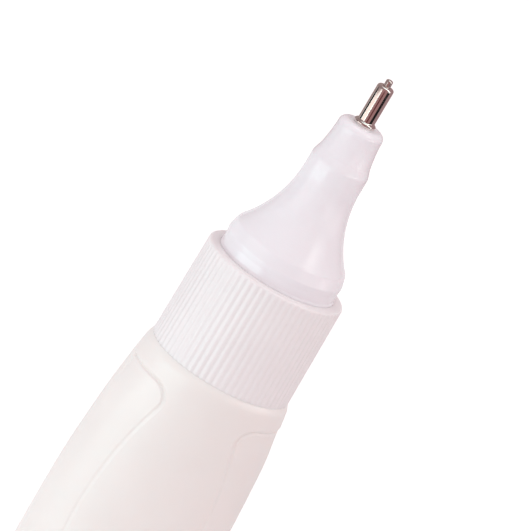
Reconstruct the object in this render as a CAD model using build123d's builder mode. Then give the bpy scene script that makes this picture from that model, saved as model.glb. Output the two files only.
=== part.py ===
from build123d import *
import math
import os

# Correction pen: squeeze bottle, ribbed screw collar, trumpet nozzle, sprung needle valve in a metal tip.
# The pen stands on its base, tip up along +Z, wide across X, with its front face towards -Y.

# Bottle
bottle_height = 76.4
shoulder_margin = 0.17
belly_drop = 19.4
belly_half_width = 10.86
belly_half_depth = 8.0
tail_half_width = 8.7
tail_half_depth = 6.6
bottle_wall = 1.0
ledge_thickness = 1.3
ledge_round = 0.4
base_thickness = 1.4
base_round = 2.2
cavity_round = 1.6
push_up_depth = 0.7
foot_ring_width = 1.0
push_up_slope = 45.0

# Each row: share of the belly drop, share of the growth in width, share of the loss in depth
flare_shares = ((0.0, 0.0, 0.0), (0.19, 0.32, 0.21), (0.49, 0.69, 0.58), (1.0, 1.0, 1.0))
# Each row: share of the run from belly to base, share of the loss in width and depth
taper_shares = ((0.33, 0.11), (0.68, 0.46), (1.0, 1.0))

# Grip recesses at the bottle's sides, in front of its parting plane
grip_top_drop = 2.85
grip_length = 34.85
grip_end_reach = 4.15
grip_middle_reach = 7.03
grip_corner_round = 2.0
grip_side_depth = 0.25
grip_face_depth = 0.2
parting_turn = 7.5

# Neck of the bottle
neck_radius = 7.45
neck_wall = 1.25
neck_height = 10.1
neck_rim_round = 0.3

# Screw collar
collar_wall = 1.06
collar_taper = 0.16
collar_lip = 0.9
collar_top_round = 0.4
collar_foot_round = 0.1
rib_count = 66
flute_radius = 0.42
flute_depth = 0.15
flute_head_margin = 0.55

# Nozzle, with reaches above the top of the collar and drops below the nozzle's own end
nozzle_reach = 19.9
band_reach = 1.3
bead_height = 0.08
bead_reach = 2.05
bead_round = 0.6
brow_inset = 0.37
brow_reach = 3.45
brow_round = 0.9
stem_radius = 3.57
stem_foot_drop = 7.1
stem_head_drop = 5.3
step_depth = 0.35
step_drop = 4.3
waist_swell = 0.15
waist_drop = 2.8
mouth_radius = 2.82
mouth_drop = 1.2
mouth_round = 0.8
flange_overlap = 0.25
flange_depth = 0.42
flange_thickness = 1.2
skirt_wall = 1.0
skirt_length = 4.0
funnel_foot_reach = 1.3

# Neck gasket
gasket_thickness = 1.0

# Tip sleeve
sleeve_radius = 1.03
sleeve_bore = 0.78
sleeve_reach = 5.15
sleeve_shank = 5.0
sleeve_end_round = 0.3
sleeve_foot_radius = 1.42
sleeve_foot_thickness = 0.25
sleeve_foot_cove = 0.3
orifice_radius = 0.47
orifice_length = 0.8

# Valve needle
needle_reach = 0.85
needle_end_round = 0.22
land_length = 1.8
land_flat_count = 3
land_flat_depth = 0.2
rod_radius = 0.45
spring_flange_radius = 1.2
spring_flange_thickness = 0.5
spring_flange_drop = 0.4
tail_radius = 0.5
tail_in_plug = 1.2

# Needle spring
spring_space = 7.0
spring_mean_radius = 0.95
spring_wire_radius = 0.15
spring_turns = 6
halves = 2
wire_sides = 8

# Spring plug
chamber_radius = 1.6
plug_length = 2.6
plug_slot_count = 4
plug_slot_width = 0.7
plug_slot_depth = 0.5

# Mixing ball
ball_radius = 3.0

# Clearances, and how far a cut runs past what it cuts
collar_gap = 0.1
seat_gap = 0.05
turning_gap = 0.1
skirt_gap = 0.08
valve_gap = 0.04
pin_gap = 0.05
land_gap = 0.06
tail_gap = 0.25
spring_gap = 0.03
ball_gap = 0.3
overrun = 1.0

# Sizes that follow from a fit, from the neck outwards and from the sleeve inwards
neck_bore = neck_radius - neck_wall
skirt_radius = neck_bore - skirt_gap
skirt_bore = skirt_radius - skirt_wall
flange_radius = neck_radius + flange_overlap
band_radius = flange_radius - flange_depth
bead_radius = band_radius + bead_height
lip_opening = bead_radius + turning_gap
collar_bore = flange_radius + turning_gap
collar_foot_radius = collar_bore + collar_wall
collar_head_radius = collar_foot_radius - collar_taper
shoulder_radius = collar_foot_radius + shoulder_margin
needle_radius = orifice_radius - pin_gap
land_radius = sleeve_bore - land_gap
plug_bore = tail_radius + tail_gap

# Levels along the pen, from the base up
belly_level = bottle_height - belly_drop
ledge = bottle_height
collar_foot = ledge + collar_gap
neck_rim = ledge + neck_height
gasket_foot = neck_rim + seat_gap
flange_foot = gasket_foot + gasket_thickness
flange_top = flange_foot + flange_thickness
lip_foot = flange_top + seat_gap
collar_top = lip_foot + collar_lip
nozzle_top = collar_top + nozzle_reach
sleeve_top = nozzle_top + sleeve_reach
needle_top = sleeve_top + needle_reach
sleeve_end = nozzle_top - sleeve_shank
spring_flange_top = sleeve_end - spring_flange_drop
spring_top = spring_flange_top - spring_flange_thickness
plug_top = spring_top - spring_space
plug_foot = plug_top - plug_length

os.makedirs("parts", exist_ok=True)

# Sections of the oval body: level, half width, half depth
body_sections = []
for drop_share, width_share, depth_share in flare_shares:
    half_width = shoulder_radius + width_share * (belly_half_width - shoulder_radius)
    half_depth = shoulder_radius + depth_share * (belly_half_depth - shoulder_radius)
    body_sections.append((ledge - drop_share * belly_drop, half_width, half_depth))
for run_share, loss_share in taper_shares:
    half_width = belly_half_width + loss_share * (tail_half_width - belly_half_width)
    half_depth = belly_half_depth + loss_share * (tail_half_depth - belly_half_depth)
    body_sections.append((belly_level - run_share * belly_level, half_width, half_depth))


def oval_body(side_inset, face_inset):
    """The bottle's round-to-oval form, drawn in by an inset at the sides and at the faces."""
    with BuildPart() as body:
        for level, half_width, half_depth in body_sections:
            with BuildSketch(Plane.XY.offset(level)):
                Ellipse(half_width - side_inset, half_depth - face_inset)
        loft()
    return body.part


outer_form = oval_body(0, 0)
grip_floor = oval_body(grip_side_depth, grip_face_depth)
inner_form = oval_body(grip_side_depth + bottle_wall, grip_face_depth + bottle_wall)

# What the grips take away: an outline seen from the front, down to the recess floor, as far back as the
# parting plane, which is turned a little from the wide side
grip_top = ledge - grip_top_drop
grip_bottom = grip_top - grip_length
grip_middle = (grip_top + grip_bottom) / 2
grip_side = belly_half_width + overrun
with BuildPart() as grip_cut:
    with BuildSketch(Plane.XZ) as grip_outline:
        with BuildLine():
            ThreePointArc(
                (grip_end_reach, grip_top), (grip_middle_reach, grip_middle), (grip_end_reach, grip_bottom)
            )
            Polyline(
                (grip_end_reach, grip_bottom), (grip_side, grip_bottom),
                (grip_side, grip_top), (grip_end_reach, grip_top),
            )
        make_face()
        fillet(grip_outline.vertices().group_by(Axis.X)[0], grip_corner_round)
    extrude(amount=shoulder_radius + overrun, both=True)
    mirror(about=Plane.YZ)
    split(bisect_by=Plane.XZ.rotated((0, parting_turn, 0)), keep=Keep.TOP)
    add(grip_floor, mode=Mode.SUBTRACT)

# The room for the fluid, from the inside of the base up through the neck
floor_level = base_thickness + push_up_depth
ceiling_level = ledge - ledge_thickness
with BuildPart() as fluid_room:
    with BuildSketch(Plane.XY.offset(floor_level)):
        Circle(belly_half_width)
    extrude(amount=ceiling_level - floor_level)
    add(inner_form, mode=Mode.INTERSECT)
    fillet(fluid_room.faces().sort_by(Axis.Z)[0].edges(), cavity_round)
    with BuildSketch(Plane.XY.offset(ceiling_level - overrun)):
        Circle(neck_bore)
    extrude(amount=neck_rim - ceiling_level + overrun + overrun)

# Bottle: oval body with grips, neck, foot ring and pushed-up base
push_up_inset = base_round + foot_ring_width
with BuildPart() as bottle:
    add(outer_form)
    fillet(bottle.faces().sort_by(Axis.Z)[-1].edges(), ledge_round)
    fillet(bottle.faces().sort_by(Axis.Z)[0].edges(), base_round)
    add(grip_cut.part, mode=Mode.SUBTRACT)
    with BuildSketch(Plane.XY.offset(ceiling_level)):
        Circle(neck_radius)
    extrude(amount=neck_rim - ceiling_level)
    fillet(bottle.faces().sort_by(Axis.Z)[-1].edges(), neck_rim_round)
    with BuildSketch():
        Ellipse(tail_half_width - push_up_inset, tail_half_depth - push_up_inset)
    extrude(amount=push_up_depth, taper=push_up_slope, mode=Mode.SUBTRACT)
    add(fluid_room.part, mode=Mode.SUBTRACT)
bottle.part.label = "bottle"
export_step(bottle.part, "parts/bottle.step")

# Screw collar: a drafted ring with a lip over the nozzle's flange, fluted all round
collar_draft = math.degrees(math.atan2(collar_foot_radius - collar_head_radius, collar_top - collar_foot))
with BuildPart() as screw_collar:
    with BuildSketch(Plane.XZ) as collar_section:
        with BuildLine():
            Polyline(
                (collar_bore, collar_foot), (collar_foot_radius, collar_foot),
                (collar_head_radius, collar_top), (lip_opening, collar_top),
                (lip_opening, lip_foot), (collar_bore, lip_foot),
                close=True,
            )
        make_face()
        corners = collar_section.vertices()
        fillet(corners.sort_by_distance((collar_head_radius, collar_top))[0], collar_top_round)
        fillet(corners.sort_by_distance((collar_foot_radius, collar_foot))[0], collar_foot_round)
    revolve(axis=Axis.Z)
    with Locations((0, 0, collar_foot - overrun)):
        with PolarLocations(collar_foot_radius - flute_depth + flute_radius, rib_count):
            with Locations(Location((0, 0, 0), (0, -collar_draft, 0))):
                Cylinder(
                    flute_radius, collar_top - flute_head_margin - collar_foot + overrun,
                    align=(Align.CENTER, Align.CENTER, Align.MIN), mode=Mode.SUBTRACT,
                )
screw_collar.part.label = "screw_collar"
export_step(screw_collar.part, "parts/screw_collar.step")

# Nozzle: skirt, flange, band and bead, trumpet flare, stem and stepped mouth, with the valve's bores inside
skirt_foot = flange_foot - skirt_length
bead = (bead_radius, collar_top + bead_reach)
brow = (bead_radius - brow_inset, collar_top + brow_reach)
stem_foot = (stem_radius, nozzle_top - stem_foot_drop)
step = (stem_radius - step_depth, nozzle_top - step_drop)
mouth = (mouth_radius, nozzle_top - mouth_drop)
with BuildPart() as nozzle:
    with BuildSketch(Plane.XZ) as nozzle_section:
        with BuildLine():
            Polyline(
                (skirt_bore, skirt_foot), (skirt_radius, skirt_foot), (skirt_radius, flange_foot),
                (flange_radius, flange_foot), (flange_radius, flange_top), (band_radius, flange_top),
                (band_radius, collar_top + band_reach), bead, brow,
            )
            TangentArc(stem_foot, brow, tangent=(0, -1))
            Polyline(stem_foot, (stem_radius, nozzle_top - stem_head_drop), step)
            ThreePointArc(step, (mouth_radius + waist_swell, nozzle_top - waist_drop), mouth)
            Polyline(
                mouth, (mouth_radius, nozzle_top), (sleeve_radius, nozzle_top),
                (sleeve_radius, sleeve_end), (chamber_radius, sleeve_end), (chamber_radius, plug_foot),
                (skirt_bore, collar_top + funnel_foot_reach), (skirt_bore, skirt_foot),
            )
        make_face()
        corners = nozzle_section.vertices()
        fillet(corners.sort_by_distance(bead)[0], bead_round)
        fillet(corners.sort_by_distance(brow)[0], brow_round)
        fillet(corners.sort_by_distance((mouth_radius, nozzle_top))[0], mouth_round)
    revolve(axis=Axis.Z)
nozzle.part.label = "nozzle"
export_step(nozzle.part, "parts/nozzle.step")

# Neck gasket: flat ring under the nozzle's flange
with BuildPart() as neck_gasket:
    with BuildSketch(Plane.XY.offset(gasket_foot)):
        Circle(neck_radius)
        Circle(neck_bore, mode=Mode.SUBTRACT)
    extrude(amount=gasket_thickness)
neck_gasket.part.label = "neck_gasket"
export_step(neck_gasket.part, "parts/neck_gasket.step")

# Tip sleeve: tube with a coved foot on the nozzle's mouth and a valve seat inside its rounded end
seat_top = sleeve_top - orifice_length
seat_foot = seat_top - (sleeve_bore - orifice_radius)
foot_top = nozzle_top + sleeve_foot_thickness
with BuildPart() as tip_sleeve:
    with BuildSketch(Plane.XZ) as sleeve_section:
        with BuildLine():
            Polyline(
                (sleeve_radius + sleeve_foot_cove, foot_top), (sleeve_foot_radius, foot_top),
                (sleeve_foot_radius, nozzle_top), (sleeve_radius, nozzle_top), (sleeve_radius, sleeve_end),
                (sleeve_bore, sleeve_end), (sleeve_bore, seat_foot), (orifice_radius, seat_top),
                (orifice_radius, sleeve_top), (sleeve_radius, sleeve_top),
                (sleeve_radius, foot_top + sleeve_foot_cove),
            )
            TangentArc(
                (sleeve_radius, foot_top + sleeve_foot_cove), (sleeve_radius + sleeve_foot_cove, foot_top),
                tangent=(0, -1),
            )
        make_face()
        corners = sleeve_section.vertices()
        fillet(corners.sort_by_distance((sleeve_radius, sleeve_top))[0], sleeve_end_round)
    revolve(axis=Axis.Z)
tip_sleeve.part.label = "tip_sleeve"
export_step(tip_sleeve.part, "parts/tip_sleeve.step")

# Valve needle: pin, cone that shuts the seat, land with flats for the fluid, rod, spring flange and tail
cone_top = seat_top + orifice_radius - needle_radius - valve_gap * math.sqrt(2)
cone_foot = cone_top - (land_radius - needle_radius)
land_foot = cone_foot - land_length
with BuildPart() as valve_needle:
    with BuildSketch(Plane.XZ) as needle_section:
        with BuildLine():
            Polyline(
                (0, plug_top - tail_in_plug), (tail_radius, plug_top - tail_in_plug),
                (tail_radius, spring_top), (spring_flange_radius, spring_top),
                (spring_flange_radius, spring_flange_top), (rod_radius, spring_flange_top),
                (rod_radius, land_foot), (land_radius, land_foot), (land_radius, cone_foot),
                (needle_radius, cone_top), (needle_radius, needle_top), (0, needle_top),
                close=True,
            )
        make_face()
        corners = needle_section.vertices()
        fillet(corners.sort_by_distance((needle_radius, needle_top))[0], needle_end_round)
    revolve(axis=Axis.Z)
    with Locations((0, 0, land_foot - overrun)):
        with PolarLocations(land_radius - land_flat_depth, land_flat_count):
            Box(
                land_radius, land_radius + land_radius, land_length + overrun,
                align=(Align.MIN, Align.CENTER, Align.MIN), mode=Mode.SUBTRACT,
            )
valve_needle.part.label = "valve_needle"
export_step(valve_needle.part, "parts/valve_needle.step")

# Needle spring: one wire along half turns, each of two arcs that meet smoothly
spring_foot = plug_top + spring_gap + spring_wire_radius
spring_rise = spring_space - 2 * (spring_gap + spring_wire_radius)
turn_angle = 2 * math.pi


def coil_point(turn):
    angle = turn * turn_angle
    level = spring_foot + turn * spring_rise / spring_turns
    return Vector(spring_mean_radius * math.cos(angle), spring_mean_radius * math.sin(angle), level)


def coil_way(turn):
    angle = turn * turn_angle
    climb = spring_rise / (spring_turns * turn_angle)
    way = Vector(-spring_mean_radius * math.sin(angle), spring_mean_radius * math.cos(angle), climb)
    return way.normalized()


with BuildPart() as needle_spring:
    with BuildLine() as spring_path:
        for half in range(spring_turns * halves):
            start = coil_point(half / halves)
            end = coil_point((half + 1) / halves)
            start_way = coil_way(half / halves)
            end_way = coil_way((half + 1) / halves)
            span = end - start
            along = span.dot(start_way + end_way)
            bend = 2 * (1 - start_way.dot(end_way))
            reach = (math.sqrt(along**2 + bend * span.dot(span)) - along) / bend
            near = start + start_way * reach
            far = end - end_way * reach
            middle = (near + far) / 2
            TangentArc(start, middle, tangent=start_way)
            TangentArc(middle, end, tangent=far - near)
    with BuildSketch(Plane(origin=spring_path.line @ 0, z_dir=spring_path.line % 0)):
        RegularPolygon(spring_wire_radius, wire_sides)
    sweep(clean=False)
needle_spring.part.label = "needle_spring"
export_step(needle_spring.part, "parts/needle_spring.step")

# Least gap between neighbouring turns of the spring, measured on points of its path
steps_per_turn = 24
path_steps = spring_turns * steps_per_turn
path_points = [spring_path.line @ (i / path_steps) for i in range(path_steps + 1)]
least_gap = min(
    (path_points[i] - path_points[j]).length - 2 * spring_wire_radius
    for i in range(len(path_points))
    for j in range(i + steps_per_turn // 2, len(path_points))
)
print("least gap of the spring to itself:", round(least_gap, 3), "mm")

# Spring plug: pressed in the nozzle, bored for the needle's tail and slotted for the fluid
with BuildPart() as spring_plug:
    with BuildSketch(Plane.XY.offset(plug_foot)):
        Circle(chamber_radius)
        Circle(plug_bore, mode=Mode.SUBTRACT)
        with PolarLocations(chamber_radius, plug_slot_count):
            Rectangle(plug_slot_depth + plug_slot_depth, plug_slot_width, mode=Mode.SUBTRACT)
    extrude(amount=plug_length)
spring_plug.part.label = "spring_plug"
export_step(spring_plug.part, "parts/spring_plug.step")

# Mixing ball: lies on the floor of the bottle
with BuildPart() as mixing_ball:
    with Locations((0, 0, floor_level + ball_gap + ball_radius)):
        Sphere(ball_radius)
mixing_ball.part.label = "mixing_ball"
export_step(mixing_ball.part, "parts/mixing_ball.step")
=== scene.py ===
import bmesh
import bpy
import math
from mathutils import Matrix, Vector


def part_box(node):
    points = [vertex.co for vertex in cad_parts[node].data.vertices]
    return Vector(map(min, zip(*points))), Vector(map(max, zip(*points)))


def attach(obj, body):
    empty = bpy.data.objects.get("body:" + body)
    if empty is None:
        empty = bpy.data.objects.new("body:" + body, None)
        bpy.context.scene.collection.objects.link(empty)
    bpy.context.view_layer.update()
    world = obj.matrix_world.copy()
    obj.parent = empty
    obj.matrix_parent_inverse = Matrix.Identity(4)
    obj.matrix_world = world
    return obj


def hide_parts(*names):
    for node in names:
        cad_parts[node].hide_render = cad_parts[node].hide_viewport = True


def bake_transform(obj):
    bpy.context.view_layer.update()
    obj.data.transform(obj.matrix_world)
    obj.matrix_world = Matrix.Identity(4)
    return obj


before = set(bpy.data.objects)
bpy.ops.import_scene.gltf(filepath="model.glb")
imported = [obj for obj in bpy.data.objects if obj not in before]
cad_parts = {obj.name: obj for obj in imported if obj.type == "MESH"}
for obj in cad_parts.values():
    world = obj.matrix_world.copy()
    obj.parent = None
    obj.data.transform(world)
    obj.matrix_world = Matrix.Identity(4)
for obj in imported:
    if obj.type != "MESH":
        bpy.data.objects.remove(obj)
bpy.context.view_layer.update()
print("frame loaded:", ", ".join(sorted(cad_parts)))

mm = 0.001  # sizes below are in millimetres, and the meshes are written in metres
degree = math.radians(1)
weldGap = 0.0005  # points closer than this become one


def nodeLevels(node):
    low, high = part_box(node)
    return low.z / mm, high.z / mm


# levels along the pen, read from the CAD pieces
collarFoot, collarTop = nodeLevels("screw_collar")
neckRim = nodeLevels("bottle")[1]
skirtFoot, nozzleTop = nodeLevels("nozzle")
sleeveEnd, sleeveTop = nodeLevels("tip_sleeve")
needleFoot, needleTop = nodeLevels("valve_needle")
plugFoot, plugTop = nodeLevels("spring_plug")
flangeFoot = nodeLevels("neck_gasket")[1]


def blendStep(low, high, value):  # 0 below low, 1 above high, smooth between
    share = min(max((value - low) / (high - low), 0.0), 1.0)
    return share * share * (3 - 2 * share)


def arcPoints(centre, start, end, steps):
    # points along an arc about the centre, from one arm to the other
    sweep = math.atan2(start.x * end.y - start.y * end.x, start.dot(end))
    turns = [(math.cos(sweep * k / steps), math.sin(sweep * k / steps)) for k in range(steps + 1)]
    return [centre + Vector((start.x * c - start.y * s, start.x * s + start.y * c)) for c, s in turns]


def arcThrough(first, middle, last, steps):
    # points on the circle through three (radius, level) places
    a, b, c = Vector(first), Vector(middle), Vector(last)
    d = 2 * (a.x * (b.y - c.y) + b.x * (c.y - a.y) + c.x * (a.y - b.y))
    centre = Vector((
        (a.dot(a) * (b.y - c.y) + b.dot(b) * (c.y - a.y) + c.dot(c) * (a.y - b.y)) / d,
        (a.dot(a) * (c.x - b.x) + b.dot(b) * (a.x - c.x) + c.dot(c) * (b.x - a.x)) / d,
    ))
    return arcPoints(centre, a - centre, c - centre, steps)


def roundedPath(corners, steps=6):
    # corners are (radius, level, rounding), and each rounding becomes a tangent arc
    path = []
    for i, (r, z, rounding) in enumerate(corners):
        here = Vector((r, z))
        if rounding == 0:
            path.append(here)
            continue
        back = (Vector(corners[i - 1][:2]) - here).normalized()
        ahead = (Vector(corners[(i + 1) % len(corners)][:2]) - here).normalized()
        half = back.angle(ahead) / 2
        reach = rounding / math.tan(half)
        centre = here + (back + ahead).normalized() * (rounding / math.sin(half))
        path += arcPoints(centre, here + back * reach - centre, here + ahead * reach - centre, steps)
    return path


def flarePath(top, foot, steps):
    # an arc that leaves the top point straight down and sweeps out to the foot point
    out, drop = foot[0] - top[0], top[1] - foot[1]
    radius = (out * out + drop * drop) / (2 * out)
    end = math.asin(drop / radius)
    turns = [end * k / steps for k in range(steps + 1)]
    return [Vector((top[0] + radius * (1 - math.cos(a)), top[1] - radius * math.sin(a))) for a in turns]


def heldPath(path, hold=0.06, loop=False):
    # a point near both ends of each run longer than five holds, so that smooth shading stays in the roundings
    held = []
    for i, here in enumerate(path):
        held.append(here)
        if i == len(path) - 1 and not loop:
            break
        run = path[(i + 1) % len(path)] - here
        if run.length > 5 * hold:
            held += [here + run * (hold / run.length), here + run * (1 - hold / run.length)]
    return held


def spread(start, stops):
    # from the start through each (place, count), in that many even steps
    places = [start]
    for place, count in stops:
        first = places[-1]
        places += [first + (place - first) * (k + 1) / count for k in range(count)]
    return places


def quarterTurn(steps):
    # cosine and sine at even steps of a quarter turn, without its start
    angles = [k * 90 / steps * degree for k in range(1, steps + 1)]
    return [(math.cos(a), math.sin(a)) for a in angles]


def roundRing(radius, level, angles):
    return [(radius * math.cos(a), radius * math.sin(a), level) for a in angles]


def skinRings(name, rings, loop=False, sharp=32):
    # rings joined by faces; the next ring may have a whole fraction or multiple of the points
    points, faces, firsts = [], [], []
    for ring in rings:
        firsts.append(len(points))
        points += [Vector(p) for p in ring]
    for row in range(len(rings) if loop else len(rings) - 1):
        following = (row + 1) % len(rings)
        here, there, few = firsts[row], firsts[following], min(len(rings[row]), len(rings[following]))
        manyHere, manyThere = len(rings[row]) // few, len(rings[following]) // few
        for k in range(few):
            near = [here + (k * manyHere + j) % len(rings[row]) for j in range(manyHere + 1)]
            far = [there + (k * manyThere + j) % len(rings[following]) for j in range(manyThere + 1)]
            faces.append(near + far[::-1])
    if not loop:  # both ends close on a middle point
        for ring, first in ((rings[0], firsts[0]), (rings[-1], firsts[-1])):
            points.append(sum((Vector(p) for p in ring), Vector()) / len(ring))
            faces += [(first + k, first + (k + 1) % len(ring), len(points) - 1) for k in range(len(ring))]
    mesh = bpy.data.meshes.new(name)
    mesh.from_pydata([p * mm for p in points], [], faces)
    shell = bmesh.new()
    shell.from_mesh(mesh)
    bmesh.ops.remove_doubles(shell, verts=shell.verts, dist=weldGap * mm)
    bmesh.ops.recalc_face_normals(shell, faces=shell.faces)
    shell.to_mesh(mesh)
    shell.free()
    mesh.shade_smooth()
    mesh.set_sharp_from_angle(angle=sharp * degree)
    piece = bpy.data.objects.new(name, mesh)
    bpy.context.scene.collection.objects.link(piece)
    return piece


def turnedRings(path, segments):
    angles = [2 * math.pi * k / segments for k in range(segments)]
    return [roundRing(p.x, p.y, angles) for p in path]


def standIn(piece, body, node, finish):
    # the piece rides on its body, shows in place of its CAD node, and takes its finish
    piece.data.materials.append(finish)
    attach(piece, body)
    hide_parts(node)
    print("piece", piece.name, "on", body, "with", len(piece.data.polygons), "faces")


driftDetail, skinDetail = 4, 3  # octaves of noise in the colour and in the skin
driftEnds = (0.3, 0.7)  # noise at which the colour is all deep or all pale
waveLength = 0.314  # of a wave texture of scale 1
waveDistortion = 0.6


def startFinish(name, look):
    # a shader whose colour and gloss drift between two values, over patches of a given size
    material = bpy.data.materials.new(name)
    material.use_nodes = True
    nodes, links = material.node_tree.nodes, material.node_tree.links
    shader = nodes["Principled BSDF"]
    place = nodes.new("ShaderNodeTexCoord")
    drift = nodes.new("ShaderNodeTexNoise")
    drift.inputs["Scale"].default_value = 1 / (look["patch"] * mm)
    drift.inputs["Detail"].default_value = driftDetail
    links.new(place.outputs["Object"], drift.inputs["Vector"])
    tint = nodes.new("ShaderNodeValToRGB")
    low, high = tint.color_ramp.elements
    low.position, high.position = driftEnds
    low.color, high.color = (*look["deep"], 1), (*look["pale"], 1)
    links.new(drift.outputs["Fac"], tint.inputs["Fac"])
    links.new(tint.outputs["Color"], shader.inputs["Base Color"])
    gloss = nodes.new("ShaderNodeMapRange")
    gloss.inputs["To Min"].default_value, gloss.inputs["To Max"].default_value = look["roughness"]
    links.new(drift.outputs["Fac"], gloss.inputs["Value"])
    links.new(gloss.outputs["Result"], shader.inputs["Roughness"])
    return material, shader, place


def addRelief(material, shader, source, depth):
    nodes, links = material.node_tree.nodes, material.node_tree.links
    bump = nodes.new("ShaderNodeBump")
    bump.inputs["Distance"].default_value = depth * mm
    links.new(source, bump.inputs["Height"])
    links.new(bump.outputs["Normal"], shader.inputs["Normal"])


def plasticFinish(name, look):
    # moulded plastic: fine skin, and some light that enters the wall
    material, shader, place = startFinish(name, look)
    shader.inputs["Subsurface Weight"].default_value = look["scatter"]
    shader.inputs["Subsurface Radius"].default_value = look["scatterTint"]
    shader.inputs["Subsurface Scale"].default_value = look["scatterDepth"] * mm
    shader.inputs["IOR"].default_value = look["ior"]
    skin = material.node_tree.nodes.new("ShaderNodeTexNoise")
    skin.inputs["Scale"].default_value = 1 / (look["skinSize"] * mm)
    skin.inputs["Detail"].default_value = skinDetail
    material.node_tree.links.new(place.outputs["Object"], skin.inputs["Vector"])
    addRelief(material, shader, skin.outputs["Fac"], look["skinDepth"])
    return material


def metalFinish(name, look):
    # turned or drawn metal: fine rings along the length
    material, shader, place = startFinish(name, look)
    shader.inputs["Metallic"].default_value = 1
    rings = material.node_tree.nodes.new("ShaderNodeTexWave")
    rings.wave_type, rings.bands_direction = "BANDS", "Z"
    rings.inputs["Scale"].default_value = waveLength / (look["ringPitch"] * mm)
    rings.inputs["Distortion"].default_value = waveDistortion
    material.node_tree.links.new(place.outputs["Object"], rings.inputs["Vector"])
    addRelief(material, shader, rings.outputs["Fac"], look["ringDepth"])
    return material


# Screw thread of neck and collar, right-handed
thread = {
    "pitch": 2.4,
    "height": 0.22,
    "crest": 0.17,
    "flank": 0.32,
    "foot": collarFoot + 1.4,
    "head": neckRim - 0.8,
    "fade": 0.7,
    "rows": 58,
    "collarShift": 0.5,  # the collar's thread runs half a pitch from the neck's
}


def threadHeight(angle, level, shift):
    # how far the thread stands out at this place; crest and flank are half widths
    low, high, fade = thread["foot"], thread["head"], thread["fade"]
    turn = (level - low) / thread["pitch"] - angle / (2 * math.pi) - shift
    off = abs(turn - round(turn)) * thread["pitch"]
    ends = blendStep(low, low + fade, level) * (1 - blendStep(high - fade, high, level))
    return thread["height"] * ends * (1 - blendStep(thread["crest"], thread["crest"] + thread["flank"], off))


# Bottle: blown shell with a round shoulder, an oval body, grip panels at the front of both sides and a threaded neck
bottle = {
    "ledge": collarFoot - 0.1,
    "shoulder": 9.14,
    "shoulderRise": 0.297,  # how far the shoulder comes up to the collar's foot
    "shoulderRound": 0.005,
    "shoulderDraw": (0.30, 1.2),  # how far the wall draws in at the top, and from how far down
    "bellyDrop": 19.4,
    "belly": (10.86, 8.0),
    "tail": (8.7, 6.6),
    "flareShares": ((0.0, 0.0, 0.0), (0.19, 0.32, 0.21), (0.49, 0.69, 0.58), (1.0, 1.0, 1.0)),
    "taperShares": ((0.33, 0.11), (0.68, 0.46), (1.0, 1.0)),
    "inset": (1.25, 1.20),
    "baseRound": 2.2,
    "footRing": 1.0,
    "pushUp": 0.7,
    "pushUpFlat": 2.0,  # how far in from its edge the flat closes on a middle point
    "floor": 2.1,
    "floorRound": 1.6,
    "ceilingDrop": 1.3,
    "ceilingRound": 0.4,
    "neck": 7.45,
    "neckCove": 0.25,
    "neckBore": 6.2,
    "neckRound": 0.3,
    "boreRound": 0.15,
    "rimRun": 0.6,  # plain neck below the rim
    "ledgeEdge": 0.05,  # how far inside the shoulder's rounding the ledge starts
    "gripTopDrop": 2.85,
    "gripLength": 34.85,
    "gripReach": (4.15, 7.03),
    "gripCorner": 2.0,
    "gripDepth": (0.12, 0.26),  # along the front edge, and at the ends
    "gripDepthBlend": (5.0, 1.0),  # how far from an end the depth starts and stops changing
    "gripWall": (-0.38, 0.10),  # where the wall of the rim starts and ends, inside the outline
    "gripRise": ((0.10, 0.32, 0.45), (0.32, 4.5, 0.50)),  # from, to, and the share of the depth that comes back
    "partingTurn": 7.5,  # the parting plane, turned from the wide side, is the back edge of the grips
    "backGroove": (0.06, 0.10, 0.40),  # depth of a groove along that edge, and where its floor starts and ends rising
    "seamHeight": 0.015,
    "seamWidth": 0.2,
    "rimLines": ((-3, 8), (6, 26), (22, 16)),  # degrees from a grip's front edge, and mesh lines up to there
    "partingLines": ((-4, 10), (3, 24)),  # the same from the parting plane
    "backLines": 28,
    "footRows": ((-0.6, 30), (0.8, 16), (5.0, 34)),  # heights from the grips' foot, and mesh rows up to there
    "middleRows": 16,
    "topRows": ((-5.0, 16), (-0.8, 40), (0.6, 18)),  # the same from the grips' top
    "shoulderRows": (0.9, 6, 14),  # how far down the close rows start, rows up to there, and close rows
    "insideRows": 24,
    "roundSteps": (10, 7, 6),  # of the base, the shoulder and the floor
    "plastic": {
        "deep": (0.820, 0.756, 0.748),
        "pale": (0.845, 0.779, 0.771),
        "patch": 9.0,
        "roughness": (0.28, 0.36),
        "ior": 1.5,
        "scatter": 0.4,
        "scatterTint": (1.0, 0.75, 0.7),
        "scatterDepth": 0.6,
        "skinSize": 0.5,
        "skinDepth": 0.006,
    },
}
gripTop = bottle["ledge"] - bottle["gripTopDrop"]
gripFoot = gripTop - bottle["gripLength"]
gripMiddle, gripHalf = (gripTop + gripFoot) / 2, bottle["gripLength"] / 2
gripSwell = bottle["gripReach"][1] - bottle["gripReach"][0]
gripArc = (gripSwell ** 2 + gripHalf ** 2) / (2 * gripSwell)  # radius of the front edge
gripArcX = bottle["gripReach"][1] - gripArc


def bottleSections():
    # level, half width and half depth of the ovals, from the base up
    ledge, drop, start = bottle["ledge"], bottle["bellyDrop"], bottle["shoulder"]
    belly, tail = bottle["belly"], bottle["tail"]
    rows = []
    for run, share in reversed(bottle["taperShares"]):
        rows.append(((ledge - drop) * (1 - run), *(b + share * (t - b) for b, t in zip(belly, tail))))
    for run, *shares in reversed(bottle["flareShares"]):
        rows.append((ledge - run * drop, *(start + share * (b - start) for share, b in zip(shares, belly))))
    return rows


bottleRows = bottleSections()


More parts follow.
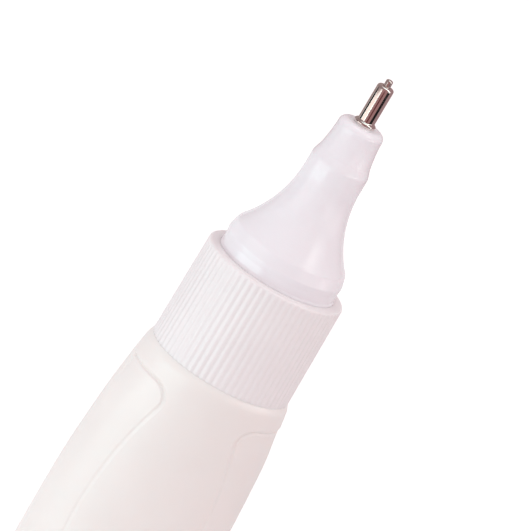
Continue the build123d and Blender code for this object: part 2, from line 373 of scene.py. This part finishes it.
def halfSizes(level):
    # half width and half depth at a level, on a smooth curve through the ovals
    i = 0
    while i < len(bottleRows) - 2 and level > bottleRows[i + 1][0]:
        i += 1
    low, high = bottleRows[i], bottleRows[i + 1]
    span = high[0] - low[0]
    s = min(max((level - low[0]) / span, 0.0), 1.0)
    sizes = []
    for c in (1, 2):
        slopes = []
        for k in (i, i + 1):
            before, after = bottleRows[max(k - 1, 0)], bottleRows[min(k + 1, len(bottleRows) - 1)]
            slopes.append((after[c] - before[c]) / (after[0] - before[0]) * span)
        sizes.append(
            low[c] * (1 + 2 * s) * (1 - s) ** 2 + high[c] * s * s * (3 - 2 * s)
            + slopes[0] * s * (1 - s) ** 2 - slopes[1] * s * s * (1 - s)
        )
    draw, reach = bottle["shoulderDraw"]
    drawn = draw * max(0.0, 1 - (bottle["ledge"] + bottle["shoulderRise"] - level) / reach) ** 2
    return [size - drawn for size in sizes]


def beforeParting(x, y):
    # how far a place lies in front of the parting plane
    turn = bottle["partingTurn"] * degree
    return x * math.sin(turn) - y * math.cos(turn)


def gripInside(x, level):
    # how far inside the grip's outline a place lies, in millimetres, negative outside
    corner = bottle["gripCorner"]
    px, pz = abs(x), abs(level - gripMiddle)  # the two grips and their two ends are alike
    cornerZ = gripHalf - corner
    cornerX = gripArcX + math.sqrt((gripArc + corner) ** 2 - cornerZ ** 2)
    if px < cornerX and (px - gripArcX) * cornerZ < pz * (cornerX - gripArcX):
        return corner - math.hypot(px - cornerX, pz - cornerZ)
    return min(gripHalf - pz, math.hypot(px - gripArcX, pz) - gripArc)


def gripSink(x, y, level):
    # depth below the plain oval: a narrow groove inside the rim, then a floor that swells back
    inside, fromBack = gripInside(x, level), beforeParting(x, y)
    groove, start, end = bottle["backGroove"]
    shallow, deep = bottle["gripDepth"]
    first, last = (gripHalf - run for run in bottle["gripDepthBlend"])
    rim = shallow + (deep - shallow) * blendStep(first, last, abs(level - gripMiddle))
    sunk = rim + groove * (1 - blendStep(start, end, fromBack))
    for start, end, share in bottle["gripRise"]:
        sunk -= rim * share * blendStep(start, end, inside)
    return sunk * blendStep(*bottle["gripWall"], inside) * blendStep(*bottle["gripWall"], fromBack)


def bottleLines(level):
    # places round the oval, from the front by the right: close together along the rims of the grips
    width, depth = halfSizes(level)
    pz = min(abs(level - gripMiddle), gripHalf)
    front = math.asin((gripArcX + math.sqrt(gripArc ** 2 - pz ** 2)) / width)
    parting = math.atan(math.tan(bottle["partingTurn"] * degree) * width / depth)
    right, left = (spread(0.0, (
        *((front + off * degree, count) for off, count in bottle["rimLines"]),
        *((side + off * degree, count) for off, count in bottle["partingLines"]),
        (math.pi, bottle["backLines"]),
    )) for side in (math.pi / 2 + parting, math.pi / 2 - parting))
    return right + [2 * math.pi - t for t in reversed(left[1:-1])]


def ovalRing(level, width, depth, lines):
    return [(width * math.sin(t), -depth * math.cos(t), level) for t in lines]


def bodyRing(level):
    width, depth = halfSizes(level)
    ring = []
    for t in bottleLines(level):
        x, y = width * math.sin(t), -depth * math.cos(t)
        sunk = gripSink(x, y, level)
        seam = bottle["seamHeight"] * max(0.0, 1 - (beforeParting(x, y) / bottle["seamWidth"]) ** 2)
        ring.append(((width - sunk + seam) * math.sin(t), -(depth - sunk) * math.cos(t), level))
    return ring


def makeBottle():
    ledge, neck, bore = bottle["ledge"] + bottle["shoulderRise"], bottle["neck"], bottle["neckBore"]
    baseRound, shoulderRound, pushUp = bottle["baseRound"], bottle["shoulderRound"], bottle["pushUp"]
    baseSteps, shoulderSteps, floorSteps = bottle["roundSteps"]
    insetWidth, insetDepth = bottle["inset"]
    lowLines, highLines = bottleLines(baseRound), bottleLines(ledge)
    neckLines, insideLines = highLines[::2], highLines[::4]  # every second and every fourth line
    tailWidth, tailDepth = halfSizes(0.0)
    # base: pushed-up middle, foot ring, rounding
    foot = baseRound + bottle["footRing"]
    path = heldPath([
        Vector((foot + pushUp + bottle["pushUpFlat"], pushUp)), Vector((foot + pushUp, pushUp)),
        Vector((foot, 0.0)), Vector((baseRound, 0.0)),
    ])
    rings = [ovalRing(p.y, tailWidth - p.x, tailDepth - p.x, lowLines) for p in path]
    for cosine, sine in quarterTurn(baseSteps)[:-1]:
        level, inset = baseRound * (1 - cosine), baseRound * (1 - sine)
        width, depth = halfSizes(level)
        rings.append(ovalRing(level, width - inset, depth - inset, lowLines))
    # body, with close rows at the ends of the grips
    closeDrop, farRows, closeRows = bottle["shoulderRows"]
    levels = spread(baseRound, (
        *((gripFoot + off, count) for off, count in bottle["footRows"]), (gripMiddle, bottle["middleRows"]),
        *((gripTop + off, count) for off, count in bottle["topRows"]),
        (ledge - closeDrop, farRows), (ledge - shoulderRound, closeRows),
    ))
    rings += [bodyRing(level) for level in levels]
    # shoulder rounding, ledge, cove and threaded neck
    for cosine, sine in quarterTurn(shoulderSteps):
        level, inset = ledge - shoulderRound * (1 - sine), shoulderRound * (1 - cosine)
        width, depth = halfSizes(level)
        rings.append(ovalRing(level, width - inset, depth - inset, highLines))
    path = heldPath(roundedPath((
        (halfSizes(ledge)[0] - shoulderRound - bottle["ledgeEdge"], ledge, 0), (neck, ledge, bottle["neckCove"]),
        (neck, thread["foot"], 0),
    )))
    rings += [ovalRing(p.y, p.x, p.x, neckLines) for p in path]
    for level in spread(thread["foot"], ((thread["head"], thread["rows"]),))[1:]:
        ring = []
        for t in neckLines:
            r = neck + threadHeight(t - math.pi / 2, level, 0.0)
            ring.append((r * math.sin(t), -r * math.cos(t), level))
        rings.append(ring)
    ceiling = bottle["ledge"] - bottle["ceilingDrop"]
    path = heldPath(roundedPath((
        (neck, neckRim - bottle["rimRun"], 0), (neck, neckRim, bottle["neckRound"]),
        (bore, neckRim, bottle["boreRound"]), (bore, ceiling, bottle["ceilingRound"]),
        (halfSizes(ceiling)[0] - insetWidth, ceiling, 0),
    ))[:-1])
    rings += [ovalRing(p.y, p.x, p.x, neckLines) for p in path]
    # inside of the wall, down to the floor
    floor, floorRound = bottle["floor"], bottle["floorRound"]
    for level in spread(ceiling, ((floor + floorRound, bottle["insideRows"]),)):
        width, depth = halfSizes(level)
        rings.append(ovalRing(level, width - insetWidth, depth - insetDepth, insideLines))
    for cosine, sine in quarterTurn(floorSteps):
        level, inset = floor + floorRound * (1 - sine), floorRound * (1 - cosine)
        width, depth = halfSizes(level)
        rings.append(ovalRing(level, width - insetWidth - inset, depth - insetDepth - inset, insideLines))
    piece = skinRings("bottleShell", rings)
    standIn(piece, "bottle", "bottle", plasticFinish("bottlePlastic", bottle["plastic"]))


makeBottle()

# Screw collar: a drafted ring with fine ribs, a lip over the nozzle's flange and a thread inside
collar = {
    "footRadius": 8.86,
    "headRadius": 8.70,
    "bore": 7.8,
    "lipOpening": 7.405,
    "lip": 0.9,
    "topRound": 0.4,
    "lipRound": 0.005,
    "footRound": 0.005,
    "footRise": 0.2,  # how far the foot stands above the CAD piece's
    "footMiddle": (0.4, 0.5),  # where the paths inside and outside end on the foot's face, from the bore
    "lipMiddle": (0.25, 0.3),  # the same on the lip's face, from its opening
    "lipFootRound": 0.05,
    "boreRounds": (0.1, 0.12),  # under the lip, and at the foot
    "threadRun": 0.1,  # plain bore below the thread
    "wallRows": (0.3, 0.1, 8),  # from above the foot to below the top's rounding, and steps between
    "roundSteps": (8, 4),  # outside and inside
    "ribs": 66,
    "fluteRadius": 0.42,
    "fluteDepth": 0.085,
    "ribSoftness": 0.04,
    "samples": (-0.37, -0.32, -0.26, -0.19, -0.10, 0.0, 0.10, 0.19, 0.26, 0.32, 0.37, 0.42),
    "insideShare": 3,  # lines outside for each one inside
    "sharp": 50,  # degrees of an edge that is shaded sharp
    "plastic": {
        "deep": (0.808, 0.746, 0.766),
        "pale": (0.828, 0.766, 0.786),
        "patch": 6.0,
        "roughness": (0.30, 0.38),
        "ior": 1.5,
        "scatter": 0.25,
        "scatterTint": (1.0, 0.8, 0.8),
        "scatterDepth": 0.5,
        "skinSize": 0.3,
        "skinDepth": 0.003,
    },
}


def fluteDepth(across):
    # depth of a flute at a distance across it
    r, soft = collar["fluteRadius"], collar["ribSoftness"]
    cut = math.sqrt(max(r * r - across * across, 0.0)) - (r - collar["fluteDepth"])
    return (cut + math.sqrt(cut * cut + soft * soft)) / 2  # soft edge instead of a sharp one


def makeCollar():
    footLevel = collarFoot + collar["footRise"]
    foot, head = Vector((collar["footRadius"], footLevel)), Vector((collar["headRadius"], collarTop))
    bore, opening, lipFoot = collar["bore"], collar["lipOpening"], collarTop - collar["lip"]
    (footIn, footOut), (lipIn, lipOut) = collar["footMiddle"], collar["lipMiddle"]
    boreHeadRound, boreFootRound = collar["boreRounds"]
    outSteps, inSteps = collar["roundSteps"]
    outside = roundedPath((
        (bore + footOut, footLevel, 0), (*foot, collar["footRound"]), (*head, collar["topRound"]),
        (opening + lipOut, collarTop, 0),
    ), outSteps)
    # the flutes are open at the foot, and run out in the rounding at the top
    start, end, count = collar["wallRows"]
    rows = spread(footLevel + start, ((collarTop - collar["topRound"] - end, count),))
    wall = [foot.lerp(head, (z - footLevel) / (collarTop - footLevel)) for z in rows]
    below = outSteps + 2  # the first point, and those of the foot's rounding
    path = outside[:below] + wall + outside[below:]
    pitch = 2 * math.pi / collar["ribs"]
    angles = []
    for rib in range(collar["ribs"]):
        angles += [rib * pitch + s / collar["footRadius"] for s in collar["samples"]]
    rings = []
    for p in path:
        wallRadius = foot.lerp(head, (p.y - footLevel) / (collarTop - footLevel)).x
        ring = []
        for k, a in enumerate(angles):
            across = collar["samples"][k % len(collar["samples"])]
            radius = min(p.x, wallRadius - fluteDepth(across))
            ring.append((radius * math.cos(a), radius * math.sin(a), p.y))
        rings.append(ring)
    inner = angles[::collar["insideShare"]]
    path = heldPath(roundedPath((
        (opening + lipIn, collarTop, 0), (opening, collarTop, collar["lipRound"]),
        (opening, lipFoot, collar["lipFootRound"]), (bore, lipFoot, boreHeadRound), (bore, thread["head"], 0),
    ), inSteps))
    rings += [roundRing(p.x, p.y, inner) for p in path]
    for level in spread(thread["head"], ((thread["foot"], thread["rows"]),))[1:]:
        ring = []
        for a in inner:
            radius = bore - threadHeight(a, level, thread["collarShift"])
            ring.append((radius * math.cos(a), radius * math.sin(a), level))
        rings.append(ring)
    path = roundedPath((
        (bore, thread["foot"] - collar["threadRun"], 0), (bore, footLevel, boreFootRound),
        (bore + footIn, footLevel, 0),
    ), inSteps)
    rings += [roundRing(p.x, p.y, inner) for p in path]
    piece = skinRings("collarRing", rings, loop=True, sharp=collar["sharp"])
    standIn(piece, "collar", "screw_collar", plasticFinish("collarPlastic", collar["plastic"]))


makeCollar()

# Nozzle: skirt and flange inside the collar, bead, trumpet flare, stem and stepped mouth
nozzle = {
    "skirt": (6.12, 5.12),
    "flange": 7.7,
    "flangeThickness": 1.2,
    "foot": (7.40, 0.08, 0.25),  # radius in the lip, reach above it, height of the cove to the band
    "band": 7.28,
    "bandReach": 1.3,
    "bead": (7.36, 2.05, 0.8),  # radius, height above the collar, rounding
    "brow": (6.99, 3.45, 1.1),
    "stem": 3.57,
    "stemReach": (12.8, 14.6),
    "step": (3.22, 15.6),
    "stepRound": 1.4,
    "waist": (2.97, 17.1),
    "mouth": (2.82, 18.7),
    "mouthRound": 0.8,
    "sleeveBore": 1.03,
    "chamber": 1.6,
    "funnelFoot": 1.3,
    "skirtRounds": (0.2, 0.3),  # inside and outside, at the skirt's foot
    "skirtRun": 0.4,  # where the path inside ends, above the skirt's foot
    "flangeRound": 0.1,
    "footRounds": (0.1, 0.3, 0.4),  # at the foot's edge, its cove, and between band and bead
    "boreRound": 0.1,
    "chamberRound": 0.3,
    "funnelRound": 0.5,
    "flareSteps": 30,
    "waistSteps": 12,
    "roundSteps": (7, 6),  # at the foot and mouth, and at the step
    "segments": 160,
    "plastic": {
        "deep": (0.822, 0.776, 0.820),
        "pale": (0.842, 0.794, 0.838),
        "patch": 7.0,
        "roughness": (0.17, 0.22),
        "ior": 1.5,
        "scatter": 0.35,
        "scatterTint": (1.0, 0.8, 0.85),
        "scatterDepth": 0.6,
        "skinSize": 0.8,
        "skinDepth": 0.002,
    },
}


def makeNozzle():
    flangeTop = flangeFoot + nozzle["flangeThickness"]
    skirtOut, skirtIn = nozzle["skirt"]
    skirtInRound, skirtOutRound = nozzle["skirtRounds"]
    foot, footReach, cove = nozzle["foot"]
    footRound, coveRound, bandRound = nozzle["footRounds"]
    flange, flangeRound, band = nozzle["flange"], nozzle["flangeRound"], nozzle["band"]
    stem, (flareTop, stepFoot), stepRound = nozzle["stem"], nozzle["stemReach"], nozzle["stepRound"]
    bore, chamber = nozzle["sleeveBore"], nozzle["chamber"]
    roundSteps, stepSteps = nozzle["roundSteps"]

    def above(spot):
        return (spot[0], collarTop + spot[1])

    flare = flarePath((stem, collarTop + flareTop), above(nozzle["brow"]), nozzle["flareSteps"])
    lower = roundedPath((
        (skirtIn, skirtFoot, skirtInRound), (skirtOut, skirtFoot, skirtOutRound), (skirtOut, flangeFoot, 0),
        (flange, flangeFoot, flangeRound), (flange, flangeTop, flangeRound), (foot, flangeTop, 0),
        (foot, collarTop + footReach, footRound), (band, collarTop + footReach + cove, coveRound),
        (band, collarTop + nozzle["bandReach"], bandRound), (*above(nozzle["bead"]), nozzle["bead"][2]),
        (*above(nozzle["brow"]), nozzle["brow"][2]), (*flare[-3], 0),
    ), roundSteps)[:-1]
    waist = arcThrough(above(nozzle["step"]), above(nozzle["waist"]), above(nozzle["mouth"]), nozzle["waistSteps"])
    upper = roundedPath((
        (*flare[1], 0), (stem, collarTop + stepFoot, stepRound), (*waist[0], stepRound), (*waist[2], 0),
    ), stepSteps)[1:-1]
    mouth = roundedPath((
        (*waist[-1], 0), (nozzle["mouth"][0], nozzleTop, nozzle["mouthRound"]),
        (bore, nozzleTop, nozzle["boreRound"]), (bore, sleeveEnd, 0),
        (chamber, sleeveEnd, 0), (chamber, plugFoot, nozzle["chamberRound"]),
        (skirtIn, collarTop + nozzle["funnelFoot"], nozzle["funnelRound"]),
        (skirtIn, skirtFoot + nozzle["skirtRun"], 0),
    ), roundSteps)
    # the roundings take the place of the outer points of flare and waist
    path = lower + flare[-3:0:-1] + upper + waist[2:-1] + mouth
    path = heldPath(path, loop=True)
    piece = skinRings("nozzleCone", turnedRings(path, nozzle["segments"]), loop=True)
    standIn(piece, "head", "nozzle", plasticFinish("nozzlePlastic", nozzle["plastic"]))


makeNozzle()

# Tip sleeve: plated tube with a round bead at its foot, a conical seat and an orifice
sleeve = {
    "radius": 1.03,
    "bore": 0.78,
    "endRound": 0.3,
    "foot": (1.32, 0.5),  # radius and height of the bead
    "footRound": 0.22,
    "footEdge": 0.05,
    "cove": 0.12,
    "shankRound": 0.08,
    "boreRound": 0.05,
    "orifice": (0.47, 0.8),  # radius and length
    "orificeRound": 0.06,
    "hold": 0.03,
    "roundSteps": 7,
    "segments": 72,
    "metal": {
        "deep": (0.82, 0.76, 0.73),
        "pale": (0.88, 0.83, 0.80),
        "patch": 0.8,
        "roughness": (0.06, 0.10),
        "ringPitch": 0.09,
        "ringDepth": 0.0002,
    },
}
seatTop = sleeveTop - sleeve["orifice"][1]


def makeSleeve():
    r, bore, orifice = sleeve["radius"], sleeve["bore"], sleeve["orifice"][0]
    foot, footTop = sleeve["foot"][0], nozzleTop + sleeve["foot"][1]
    seatFoot = seatTop - (bore - orifice)
    path = roundedPath((
        (r, footTop, sleeve["cove"]), (foot, footTop, sleeve["footRound"]), (foot, nozzleTop, sleeve["footEdge"]),
        (r, nozzleTop, 0), (r, sleeveEnd, sleeve["shankRound"]), (bore, sleeveEnd, sleeve["boreRound"]),
        (bore, seatFoot, 0), (orifice, seatTop, 0), (orifice, sleeveTop, sleeve["orificeRound"]),
        (r, sleeveTop, sleeve["endRound"]),
    ), sleeve["roundSteps"])
    path = heldPath(path, sleeve["hold"], loop=True)
    piece = skinRings("sleeveTube", turnedRings(path, sleeve["segments"]), loop=True)
    standIn(piece, "head", "tip_sleeve", metalFinish("sleeveNickel", sleeve["metal"]))


makeSleeve()

# Valve needle: the pin that shows at the sleeve's end, a cone for the seat, a land with flats, rod, flange and tail
needle = {
    "radius": 0.42,
    "endRound": 0.22,
    "endFlat": 0.1,
    "coneRound": 0.05,
    "land": (0.72, 1.8),  # radius and length
    "landRound": 0.08,
    "flats": 3,
    "flatDepth": 0.2,
    "flatMargin": 0.01,
    "rod": 0.45,
    "rodRound": 0.1,
    "flange": (1.2, 0.5, 0.4),  # radius, thickness, drop below the sleeve
    "flangeRound": 0.06,
    "tail": 0.5,
    "tailRound": 0.15,
    "tailFlat": 0.15,
    "clearance": 0.04,
    "hold": 0.03,
    "roundSteps": 7,
    "segments": 60,
    "metal": {
        "deep": (0.76, 0.70, 0.67),
        "pale": (0.82, 0.77, 0.74),
        "patch": 0.5,
        "roughness": (0.08, 0.14),
        "ringPitch": 0.06,
        "ringDepth": 0.0003,
    },
}


def makeNeedle():
    pin, (land, landLength), rod, tail = needle["radius"], needle["land"], needle["rod"], needle["tail"]
    flange, flangeThickness, flangeDrop = needle["flange"]
    coneTop = seatTop + sleeve["orifice"][0] - pin - needle["clearance"] * math.sqrt(2)
    coneFoot = coneTop - (land - pin)
    landFoot = coneFoot - landLength
    flangeTop, flangeRound = sleeveEnd - flangeDrop, needle["flangeRound"]
    tailTop = flangeTop - flangeThickness
    path = heldPath(roundedPath((
        (needle["tailFlat"], needleFoot, 0), (tail, needleFoot, needle["tailRound"]), (tail, tailTop, 0),
        (flange, tailTop, flangeRound), (flange, flangeTop, flangeRound), (rod, flangeTop, needle["rodRound"]),
        (rod, landFoot, 0), (land, landFoot, needle["landRound"]), (land, coneFoot, 0),
        (pin, coneTop, needle["coneRound"]), (pin, needleTop, needle["endRound"]), (needle["endFlat"], needleTop, 0),
    ), needle["roundSteps"]), needle["hold"])
    flatTurn, margin = 2 * math.pi / needle["flats"], needle["flatMargin"]
    rings = []
    for p in path:
        ring = []
        for k in range(needle["segments"]):
            a = 2 * math.pi * k / needle["segments"]
            radius = p.x
            if landFoot - margin < p.y < coneFoot + margin:  # flats that let the fluid pass
                off = a - round(a / flatTurn) * flatTurn
                radius = min(radius, (land - needle["flatDepth"]) / math.cos(off))
            ring.append((radius * math.cos(a), radius * math.sin(a), p.y))
        rings.append(ring)
    piece = skinRings("needlePin", rings)
    standIn(piece, "needle", "valve_needle", metalFinish("needleSteel", needle["metal"]))


makeNeedle()

# Needle spring: its end turns lie closer
spring = {
    "wire": 0.15,
    "radius": 0.95,
    "turns": 6,
    "space": 7.0,
    "gap": 0.03,
    "crowding": 0.5,  # how much the turns close up towards the ends
    "steps": 40,
    "nudge": 0.1,  # share of a step, to find the wire's direction
    "sides": 12,
    "endRun": 3,  # wire radii at each end
    "metal": {
        "deep": (0.42, 0.41, 0.40),
        "pale": (0.52, 0.51, 0.50),
        "patch": 0.4,
        "roughness": (0.25, 0.35),
        "ringPitch": 0.05,
        "ringDepth": 0.001,
    },
}


def springPlace(share):
    # middle of the wire at a share of its length, right-handed
    margin = spring["gap"] + spring["wire"]
    angle = 2 * math.pi * spring["turns"] * share
    climb = share - spring["crowding"] * math.sin(2 * math.pi * share) / (2 * math.pi)
    level = plugTop + margin + climb * (spring["space"] - 2 * margin)
    return Vector((spring["radius"] * math.cos(angle), spring["radius"] * math.sin(angle), level))


def makeSpring():
    wire, sides, nudge = spring["wire"], spring["sides"], spring["nudge"]
    count = spring["turns"] * spring["steps"]
    rings = []
    for k in range(count + 1):
        middle = springPlace(k / count)
        along = springPlace((k + nudge) / count) - springPlace((k - nudge) / count)
        outward = Vector((middle.x, middle.y, 0)).normalized()
        across = along.normalized().cross(outward)
        angles = [2 * math.pi * j / sides for j in range(sides)]
        rings.append([middle + (outward * math.cos(a) + across * math.sin(a)) * wire for a in angles])
    piece = skinRings("springCoil", rings)
    piece.data.materials.append(metalFinish("springSteel", spring["metal"]))
    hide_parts("needle_spring")
    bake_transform(piece)
    print("piece", piece.name, "between head and needle with", len(piece.data.polygons), "faces")


makeSpring()

# Finishes of the CAD pieces that show as they are
insides = {
    "neck_gasket": ("gasketRubber", plasticFinish, {
        "deep": (0.60, 0.60, 0.57),
        "pale": (0.68, 0.68, 0.65),
        "patch": 2.0,
        "roughness": (0.65, 0.8),
        "ior": 1.45,
        "scatter": 0.05,
        "scatterTint": (1.0, 0.9, 0.8),
        "scatterDepth": 0.4,
        "skinSize": 0.15,
        "skinDepth": 0.01,
    }),
    "spring_plug": ("plugPlastic", plasticFinish, {
        "deep": (0.78, 0.77, 0.74),
        "pale": (0.84, 0.83, 0.80),
        "patch": 1.5,
        "roughness": (0.32, 0.42),
        "ior": 1.5,
        "scatter": 0.1,
        "scatterTint": (1.0, 0.8, 0.7),
        "scatterDepth": 0.5,
        "skinSize": 0.2,
        "skinDepth": 0.003,
    }),
    "mixing_ball": ("ballSteel", metalFinish, {
        "deep": (0.50, 0.49, 0.48),
        "pale": (0.58, 0.57, 0.56),
        "patch": 1.2,
        "roughness": (0.1, 0.22),
        "ringPitch": 0.2,
        "ringDepth": 0.0006,
    }),
}
for node, (name, makeFinish, look) in insides.items():
    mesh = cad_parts[node].data
    mesh.materials.clear()
    mesh.materials.append(makeFinish(name, look))
print("finishes set on", ", ".join(insides))

# Camera at the photograph's angle
view = {
    "azimuth": -9.0,
    "elevation": 15.3,
    "roll": 30.7,
    "distance": 600.0,
    "sensor": 36,
    "clipStart": 10,
    "pixels": 531,
    "pixelsPerMm": 8.735,
    "aimLevel": 76.3,
    "aimPixel": (219.3, 368.2),
}


def aimed(azimuth, elevation):
    # direction from the pen to a place seen at this azimuth and elevation; azimuth 0 is the pen's front
    turn, lift = azimuth * degree, elevation * degree
    return Vector((math.sin(turn) * math.cos(lift), -math.cos(turn) * math.cos(lift), math.sin(lift)))


def makeCamera():
    back = aimed(view["azimuth"], view["elevation"])
    side = aimed(view["azimuth"] + 90, 0)
    rise = back.cross(side)
    roll = view["roll"] * degree
    right, up = side * math.cos(roll) + rise * math.sin(roll), rise * math.cos(roll) - side * math.sin(roll)
    middle = view["pixels"] / 2
    shiftX, shiftY = middle - view["aimPixel"][0], view["aimPixel"][1] - middle
    aim = Vector((0, 0, view["aimLevel"])) + (right * shiftX + up * shiftY) / view["pixelsPerMm"]
    camera = bpy.data.objects.new("camera", bpy.data.cameras.new("camera"))
    bpy.context.scene.collection.objects.link(camera)
    turned = Matrix((right, up, back)).transposed().to_4x4()
    camera.matrix_world = Matrix.Translation((aim + back * view["distance"]) * mm) @ turned
    camera.data.sensor_width = view["sensor"]
    camera.data.lens = view["sensor"] * view["distance"] * view["pixelsPerMm"] / view["pixels"]
    camera.data.clip_start = view["clipStart"] * mm
    bpy.context.scene.camera = camera
    print("camera at", tuple(round(c, 3) for c in camera.location))


makeCamera()

# Studio: pale floor, soft boxes, white surroundings, and cards for the pieces to mirror
studio = {
    "floorSize": 6000.0,
    "floorColour": (0.80, 0.80, 0.80),
    "ambient": (1.0, 0.892, 0.906),
    "ambientStrength": 0.885,
    "lamps": {
        "boxLeft": {
            "azimuth": -62, "distance": 180, "level": 38, "tilt": 0, "width": 187, "height": 62,
            "radiance": 2.65, "colour": (0.68, 1.0, 0.957),
        },
        "boxRight": {
            "azimuth": 54, "distance": 330, "level": 460, "tilt": 48, "width": 160, "height": 330,
            "radiance": 1.84, "colour": (0.90, 1.0, 0.88),
        },
        "boxTop": {
            "azimuth": -10, "distance": 130, "level": 450, "tilt": 70, "width": 220, "height": 220,
            "radiance": 1.65, "colour": (0.70, 1.0, 0.96),
        },
    },
    # each card lies between two azimuths and two levels
    "cards": {
        "cardFront": {"span": (-34, 76), "levels": (0, 190), "distance": 250, "colour": (0.60, 0.55, 0.55)},
        "cardRight": {"span": (76, 171), "levels": (0, 120), "distance": 250, "colour": (0.72, 0.68, 0.69)},
        "cardLeft": {"span": (-189, -90), "levels": (0, 120), "distance": 250, "colour": (0.86, 0.85, 0.86)},
        # the highlight on the right of the shoulder
        "cardGlow": {"span": (30, 100), "levels": (105, 140), "distance": 240, "colour": (4.6, 4.5, 4.4)},
        "cardHigh": {"span": (-90, 30), "levels": (190, 700), "distance": 250, "colour": (0.55, 0.50, 0.50)},
        # a near ring, for the metal tip
        "tipFront": {"span": (-34, 40), "levels": (96, 190), "distance": 44, "colour": (0.36, 0.20, 0.20)},
        "tipMiddle": {"span": (-5, 11), "levels": (96, 107), "distance": 34, "colour": (0.14, 0.04, 0.04)},
        "tipRight": {"span": (40, 76), "levels": (96, 107), "distance": 40, "colour": (0.01, 0.01, 0.01)},
        "tipFarRight": {"span": (76, 171), "levels": (96, 190), "distance": 44, "colour": (0.36, 0.24, 0.25)},
        "tipLeft": {"span": (-114, -86), "levels": (96, 107), "distance": 40, "colour": (0.01, 0.01, 0.01)},
        "tipGlow": {"span": (-85, -37), "levels": (96, 107), "distance": 36, "colour": (1.18, 1.04, 0.97)},
        "tipHigh": {"span": (-118, -34), "levels": (107, 190), "distance": 40, "colour": (0.30, 0.22, 0.22)},
        "tipFarLeft": {"span": (-189, -118), "levels": (96, 190), "distance": 44, "colour": (0.36, 0.28, 0.27)},
    },
}


def cameraShare(nodes, links):
    # 1 for rays that come straight from the camera, or by way of a mirror or clear piece
    rays = nodes.new("ShaderNodeLightPath")
    seen = rays.outputs["Is Camera Ray"]
    for kind in ("Is Glossy Ray", "Is Transmission Ray"):
        widest = nodes.new("ShaderNodeMath")
        widest.operation = "MAXIMUM"
        links.new(seen, widest.inputs[0])
        links.new(rays.outputs[kind], widest.inputs[1])
        seen = widest.outputs[0]
    return seen


def makeWorld():
    world = bpy.data.worlds.new("studioWorld")
    world.use_nodes = True
    nodes, links = world.node_tree.nodes, world.node_tree.links
    ambient = nodes["Background"]
    ambient.inputs["Color"].default_value = (*studio["ambient"], 1)
    ambient.inputs["Strength"].default_value = studio["ambientStrength"]
    white = nodes.new("ShaderNodeBackground")
    white.inputs["Color"].default_value = (1, 1, 1, 1)
    choose = nodes.new("ShaderNodeMixShader")
    links.new(cameraShare(nodes, links), choose.inputs[0])
    links.new(ambient.outputs[0], choose.inputs[1])
    links.new(white.outputs[0], choose.inputs[2])
    links.new(choose.outputs[0], nodes["World Output"].inputs["Surface"])
    bpy.context.scene.world = world


def flatPiece(name, corners):
    mesh = bpy.data.meshes.new(name)
    mesh.from_pydata([Vector(c) * mm for c in corners], [], [(0, 1, 2, 3)])
    piece = bpy.data.objects.new(name, mesh)
    bpy.context.scene.collection.objects.link(piece)
    return piece


def makeFloor():
    half = studio["floorSize"] / 2
    floor = flatPiece("floor", ((-half, -half, 0), (half, -half, 0), (half, half, 0), (-half, half, 0)))
    material = bpy.data.materials.new("floorPaper")
    material.use_nodes = True
    nodes, links = material.node_tree.nodes, material.node_tree.links
    shader = nodes["Principled BSDF"]
    shader.inputs["Base Color"].default_value = (*studio["floorColour"], 1)
    shader.inputs["Roughness"].default_value = 1
    shader.inputs["Specular IOR Level"].default_value = 0
    # what the paper needs, on top of the ambient light that it sends back, to be white to the camera
    glow = nodes.new("ShaderNodeEmission")
    share = nodes.new("ShaderNodeMath")
    share.operation = "MULTIPLY"
    share.inputs[1].default_value = 1 - studio["floorColour"][0] * studio["ambientStrength"] * studio["ambient"][1]
    links.new(cameraShare(nodes, links), share.inputs[0])
    links.new(share.outputs[0], glow.inputs["Strength"])
    both = nodes.new("ShaderNodeAddShader")
    links.new(shader.outputs[0], both.inputs[0])
    links.new(glow.outputs[0], both.inputs[1])
    links.new(both.outputs[0], nodes["Material Output"].inputs["Surface"])
    floor.data.materials.append(material)


def makeLamps():
    for name, lamp in studio["lamps"].items():
        light = bpy.data.lights.new(name, "AREA")
        light.shape = "RECTANGLE"
        light.size, light.size_y = lamp["width"] * mm, lamp["height"] * mm
        light.energy = lamp["radiance"] * math.pi * light.size * light.size_y
        light.color = lamp["colour"]
        piece = bpy.data.objects.new(name, light)
        bpy.context.scene.collection.objects.link(piece)
        place = aimed(lamp["azimuth"], 0) * lamp["distance"] + Vector((0, 0, lamp["level"]))
        turn = aimed(lamp["azimuth"], lamp["tilt"]).to_track_quat("Z", "Y")
        piece.matrix_world = Matrix.Translation(place * mm) @ turn.to_matrix().to_4x4()
        piece.visible_camera = False


def makeCards():
    for name, card in studio["cards"].items():
        material = bpy.data.materials.new(name + "Paint")
        material.use_nodes = True
        nodes, links = material.node_tree.nodes, material.node_tree.links
        paint = nodes.new("ShaderNodeEmission")
        paint.inputs["Color"].default_value = (*card["colour"], 1)
        links.new(paint.outputs[0], nodes["Material Output"].inputs["Surface"])
        start, end = (aimed(azimuth, 0) * card["distance"] for azimuth in card["span"])
        foot, head = (Vector((0, 0, level)) for level in card["levels"])
        piece = flatPiece(name, (start + foot, end + foot, end + head, start + head))
        piece.data.materials.append(material)
        piece.visible_camera = piece.visible_diffuse = piece.visible_shadow = False


makeWorld()
makeFloor()
makeLamps()
makeCards()
bpy.context.scene.view_settings.view_transform = "Standard"
print("studio set")
